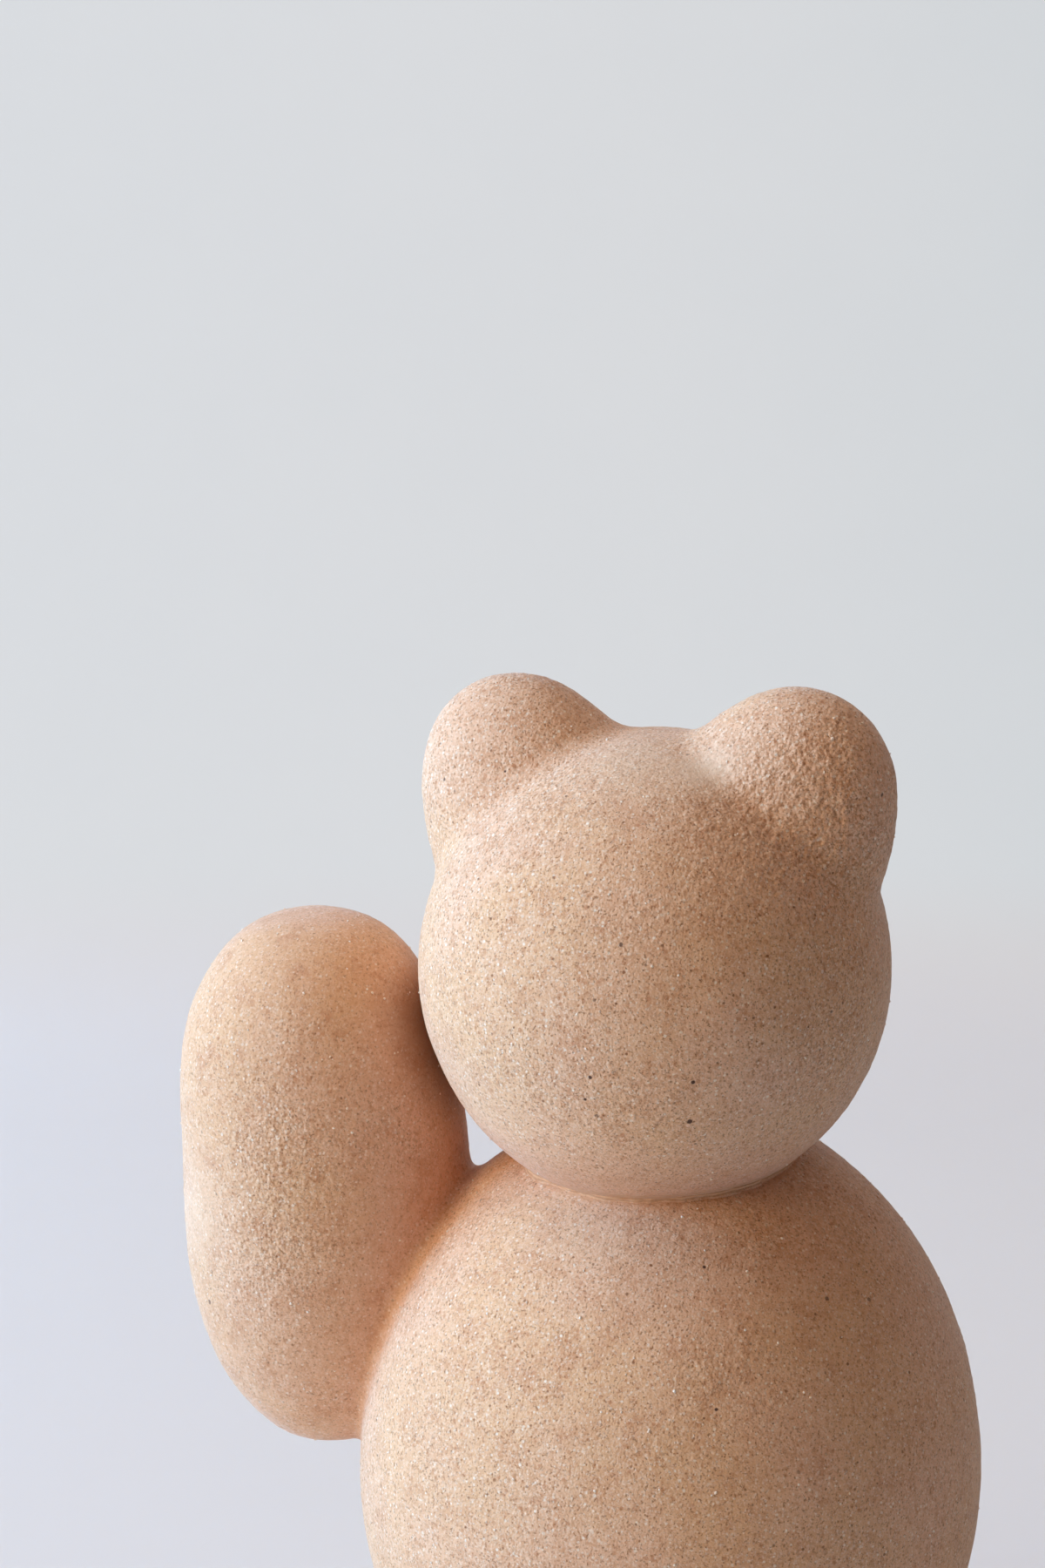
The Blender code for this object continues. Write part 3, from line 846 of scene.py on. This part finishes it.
UP = (0, 0, 1)
DOWN = (0, 0, -1)
AXES = {
    "body_upper_bowl": (BODY, UP),
    "body_seam_coil": (BODY, UP),
    "body_lower_bowl": (BODY, DOWN),
    "arm_upper_bowl": (ARM, UP),
    "arm_seam_coil": (ARM, UP),
    "arm_lower_bowl": (ARM, DOWN),
    "arm_coil": (BODY, (-1, 0, 0)),
    "head_upper_bowl": (HEAD, UP),
    "head_seam_coil": (HEAD, UP),
    "head_lower_bowl": (HEAD, DOWN),
    "left_ear_shell": (EARS[-1], EARS[-1].turn[:, 2]),
    "left_ear_coil": (HEAD, EARS[-1].turn[:, 2]),
    "right_ear_shell": (EARS[1], EARS[1].turn[:, 2]),
    "right_ear_coil": (HEAD, EARS[1].turn[:, 2]),
}

# Pale grains that stand out of the clay
QUARTZ_AREA = 0.000085  # of skin for each pale grain
QUARTZ_RADII = (0.00020, 0.00036)
QUARTZ_LOWEST = 0.003  # none is pressed into the foot
QUARTZ_STRETCH = (0.7, 1.2)
QUARTZ_CORNERS = (0.85, 1.12)  # how far each corner of a grain stands out
QUARTZ_SUNK = (-0.25, 0.25)  # of its radius
FULL_TURN = 6.283


def make_quartz(name, skins, material, rng):
    """Pale angular grains set into the skins, about half sunk."""
    smallest, largest = QUARTZ_RADII
    bm = bmesh.new()
    for skin in skins:
        faces = skin.data.polygons
        count = round(len(faces) * faces[0].area / QUARTZ_AREA)
        for number in rng.integers(len(faces), size=count):
            face = faces[int(number)]
            if face.center.z < QUARTZ_LOWEST:
                continue
            radius = smallest + (largest - smallest) * rng.random() ** 2
            turn = Matrix.Rotation(rng.random() * FULL_TURN, 3, rng.normal(size=3))
            stretch = Matrix.Diagonal(Vector(rng.uniform(*QUARTZ_STRETCH, 3)))
            made = bmesh.ops.create_icosphere(bm, subdivisions=1, radius=radius)
            centre = face.center + face.normal * radius * rng.uniform(*QUARTZ_SUNK)
            for vertex in made["verts"]:
                vertex.co = turn @ stretch @ vertex.co * rng.uniform(*QUARTZ_CORNERS) + centre
    grains = object_from(bm, name)
    grains.data.materials.append(material)
    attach(grains, "root")


def make_skins(field, label, step, start, joined, cutters, material):
    points, faces = fine_mesh(step, start, joined, cutters)
    points = settle(field, points)
    points = roughened(field, points)
    normals = normals_of(points, faces)
    labels = label(points[faces].mean(axis=1))
    skins = []
    for node, own in parted(faces, labels).items():
        if node:
            form, axis = AXES[node]
            skin = add_skin(
                f"{node}_skin", points, own, normals, form.centre, axis, material, [node]
            )
            skins.append(skin)
    return skins


def neck_line(turns):
    """Points on the crease between head and body, at angles round the body."""
    ring = np.stack((np.cos(turns), np.sin(turns), np.zeros_like(turns)), axis=1)
    points = HEAD.centre + ring * HEAD.half * CREASE_REACH
    points[:, 2] = (BODY.centre[2] + BODY.half[2] + HEAD.centre[2] - HEAD.half[2]) / 2
    for _ in range(CREASE_ROUNDS):
        points = settle(BODY.distance, points)
        points = settle(HEAD.distance, points)
    return points


def make_neck_slip(material):
    """Slip pressed into the neck's crease: a thin ragged fillet with its edges sunk in."""
    crease = neck_line(np.linspace(0, 2 * math.pi, SLIP_AROUND, endpoint=False))
    full = rising(-crease[:, 0], *SLIP_NARROWS)
    wide = SLIP_WIDTH * (1 + layered_noise(crease, SLIP_WAVER))
    wide *= SLIP_NARROW_SHARE + (1 - SLIP_NARROW_SHARE) * full
    body_normal = slope_of(BODY.distance, crease)
    head_normal = slope_of(HEAD.distance, crease)
    along_body = head_normal - body_normal * (head_normal * body_normal).sum(axis=1)[:, None]
    along_head = body_normal - head_normal * (head_normal * body_normal).sum(axis=1)[:, None]
    ridged = rising(lattice_noise(crease, SLIP_RIDGE_STRETCH, 25), -0.2, 0.5) * full
    blend = wide * SLIP_FILLET

    def clay(points):
        return smooth_union(BODY.distance(points), HEAD.distance(points), blend)

    rows = []
    for place in np.linspace(-1, 1, SLIP_ACROSS):
        direction = along_body if place < 0 else along_head
        row = settle(clay, crease + direction * (abs(place) * wide)[:, None])
        normal = slope_of(clay, row)
        normal /= np.linalg.norm(normal, axis=1)[:, None]
        lumps = layered_noise(row, SLIP_LUMPS)
        ridge = SLIP_RIDGE * math.exp(-(((place - SLIP_RIDGE_PLACE) / SLIP_RIDGE_SPREAD) ** 2)) * ridged
        sunk = SLIP_SUNK * max(0.0, abs(place) - SLIP_EDGE) / (1 - SLIP_EDGE)
        rows.append(row + normal * (lumps + ridge - sunk)[:, None])
    points = np.concatenate(rows)
    index = np.arange(points.shape[0]).reshape(SLIP_ACROSS, SLIP_AROUND)
    after = np.roll(index, -1, axis=1)
    faces = np.stack((index[:-1], after[:-1], after[1:], index[1:]), axis=-1).reshape(-1, 4)
    normals = normals_of(points, faces)
    add_skin(
        "neck_slip", points, faces, normals, HEAD.centre, DOWN, material, ["neck_coil"]
    )


# Where the floor sweeps up into the backdrop, and how both look in the photograph
SWEEP_START = 0.46  # behind the figure, along the camera's heading
SWEEP_RADIUS = 0.16
SWEEP_STEPS = 16
BACKDROP_HEIGHT = 2.4
BACKDROP_HALF_WIDTH = 3.0
FLOOR_FRONT = -2.2
WALL_LEFT = (0.705, 0.705, 0.710)
WALL_RIGHT = (0.590, 0.640, 0.670)
FLOOR_LEFT = (0.755, 0.600, 0.515)
FLOOR_RIGHT = (0.745, 0.700, 0.680)
LEFT_TO_RIGHT = (-0.05, 0.50)  # where the tone at the left goes over into the one at the right
FLOOR_TO_WALL = (0.004, 0.060)
STREAK_SIZE = 0.05
STREAK_TINT = (0.95, 0.96, 0.97)
PLASTER = (0.80, 0.80, 0.80)
PLASTER_ROUGHNESS = 0.9
FLOOR_GLOW = 0.5  # the share of its own light in what the camera sees of it
WALL_GLOW = 0.9


def plaster(name):
    """Plain plaster. Most of what the camera sees of it is its own light, so that it stays pale."""
    tree = Tree(name)
    split = tree.add("ShaderNodeSeparateXYZ")
    tree.fill(split.inputs[0], tree.place)
    # The wall's tone, paler at the left and darker and bluer at the right, is painted light falling off
    # across the backdrop.
    across = tree.ramp(split.outputs["X"], *LEFT_TO_RIGHT)
    standing = tree.ramp(split.outputs["Z"], *FLOOR_TO_WALL)
    wall = tree.mix(across, WALL_LEFT, WALL_RIGHT)
    floor = tree.mix(across, FLOOR_LEFT, FLOOR_RIGHT)
    tone = tree.mix(standing, floor, wall)
    streaks = tree.ramp(tree.noise(STREAK_SIZE, 4.0, 0.6), 0.3, 0.7, 0.0, 0.25)
    tone = tree.mix(streaks, tone, STREAK_TINT, "MULTIPLY")
    tree.shader.inputs["Base Color"].default_value = (*PLASTER, 1)
    tree.shader.inputs["Roughness"].default_value = PLASTER_ROUGHNESS
    path = tree.add("ShaderNodeLightPath")
    seen = tree.maths("MAXIMUM", path.outputs["Is Camera Ray"], path.outputs["Is Glossy Ray"])
    seen = tree.maths("MAXIMUM", seen, path.outputs["Is Transmission Ray"])
    glowing = tree.maths("MULTIPLY_ADD", standing, WALL_GLOW - FLOOR_GLOW, FLOOR_GLOW)
    share = tree.maths("MULTIPLY", seen, glowing)
    glow = tree.add("ShaderNodeEmission")
    tree.fill(glow.inputs["Color"], tone)
    both = tree.add("ShaderNodeMixShader")
    tree.fill(both.inputs[0], share)
    tree.fill(both.inputs[1], tree.shader.outputs[0])
    tree.fill(both.inputs[2], glow.outputs[0])
    tree.fill(tree.nodes["Material Output"].inputs["Surface"], both.outputs[0])
    return tree.material


def make_floor():
    """A plain floor that sweeps up into the backdrop, standing for no part of the object."""
    outline = [(FLOOR_FRONT, 0.0)]
    for step in range(SWEEP_STEPS + 1):
        angle = math.pi / 2 * step / SWEEP_STEPS
        away = SWEEP_START + SWEEP_RADIUS * math.sin(angle)
        outline.append((away, SWEEP_RADIUS * (1 - math.cos(angle))))
    outline.append((SWEEP_START + SWEEP_RADIUS, BACKDROP_HEIGHT))
    bm = bmesh.new()
    rows = [
        [bm.verts.new((side * BACKDROP_HALF_WIDTH, away, height)) for side in (-1, 1)]
        for away, height in outline
    ]
    for lower, upper in zip(rows, rows[1:]):
        bm.faces.new((lower[0], lower[1], upper[1], upper[0]))
    floor = object_from(bm, "floor")
    floor.rotation_euler.z = CAMERA_HEADING
    floor.data.shade_smooth()
    floor.data.materials.append(plaster("plaster_floor"))


# Soft lights, tinted as the window's and the room's light are in the photograph
LIGHT_AIM = Vector((0, 0, 0.12))
LIGHT_DISTANCE = 1.3
SKYLIGHT = (0.245, 0.575, 1.0)
DAYLIGHT = (0.86, 0.95, 1.0)
WARM_DAYLIGHT = (1.0, 0.81, 0.46)
ROOM_LIGHT = (1.0, 0.65, 0.40)
LIGHTS = (  # bearing from the camera's side and height in degrees, sides, power and colour
    ("low_window", -62, 14, (0.60, 0.60), 6.5, WARM_DAYLIGHT),
    ("side_window", -90, 18, (0.70, 0.80), 26.0, SKYLIGHT),
    ("high_window", -90, 66, (0.80, 0.70), 5.6, DAYLIGHT),
    ("ceiling", 20, 65, (0.90, 0.90), 2.3, ROOM_LIGHT),
    ("room_side", 125, 20, (0.90, 0.70), 1.7, DAYLIGHT),
)
ROOM_LEVEL = 0.05


def make_lights():
    for name, bearing, height, sides, power, colour in LIGHTS:
        light = bpy.data.lights.new(name, "AREA")
        light.shape = "RECTANGLE"
        light.size, light.size_y = sides
        light.energy = power
        light.color = colour
        lamp = bpy.data.objects.new(name, light)
        bpy.context.scene.collection.objects.link(lamp)
        turn = Matrix.Rotation(CAMERA_HEADING + math.radians(bearing), 3, "Z")
        rise = math.radians(height)
        away = Vector((0, -math.cos(rise), math.sin(rise))) * LIGHT_DISTANCE
        lamp.location = LIGHT_AIM + turn @ away
        lamp.rotation_euler = (LIGHT_AIM - lamp.location).to_track_quat("-Z", "Y").to_euler()
    world = bpy.data.worlds.new("room")
    world.use_nodes = True
    background = world.node_tree.nodes["Background"]
    background.inputs["Color"].default_value = (*ROOM_LIGHT, 1)
    background.inputs["Strength"].default_value = ROOM_LEVEL
    bpy.context.scene.world = world


def make_camera():
    camera = bpy.data.cameras.new("camera")
    camera.lens = CAMERA_LENS
    camera.sensor_fit = "VERTICAL"
    camera.sensor_height = FILM_HEIGHT
    holder = bpy.data.objects.new("camera", camera)
    bpy.context.scene.collection.objects.link(holder)
    holder.location = Vector(BODY.centre) + CAMERA_FROM_BODY
    holder.rotation_euler = (math.pi / 2 - CAMERA_PITCH, 0, CAMERA_HEADING)
    bpy.context.scene.camera = holder


make_camera()
clay = stoneware("speckled_stoneware")
rng = np.random.default_rng(7)
cutters = [floor_solid(), vent_solid()]
torso = make_skins(torso_field, torso_labels, TORSO_STEP, BODY.solid(), [ARM.solid()], cutters, clay)
ears = [ear.solid() for ear in EARS.values()]
head = make_skins(head_field, head_labels, HEAD_STEP, HEAD.solid(), ears, [], clay)
make_neck_slip(clay)
grog = quartz("quartz_grog")
make_quartz("torso_quartz_grains", torso, grog, rng)
make_quartz("head_quartz_grains", head, grog, rng)
make_floor()
make_lights()
bpy.context.scene.view_settings.view_transform = "Standard"
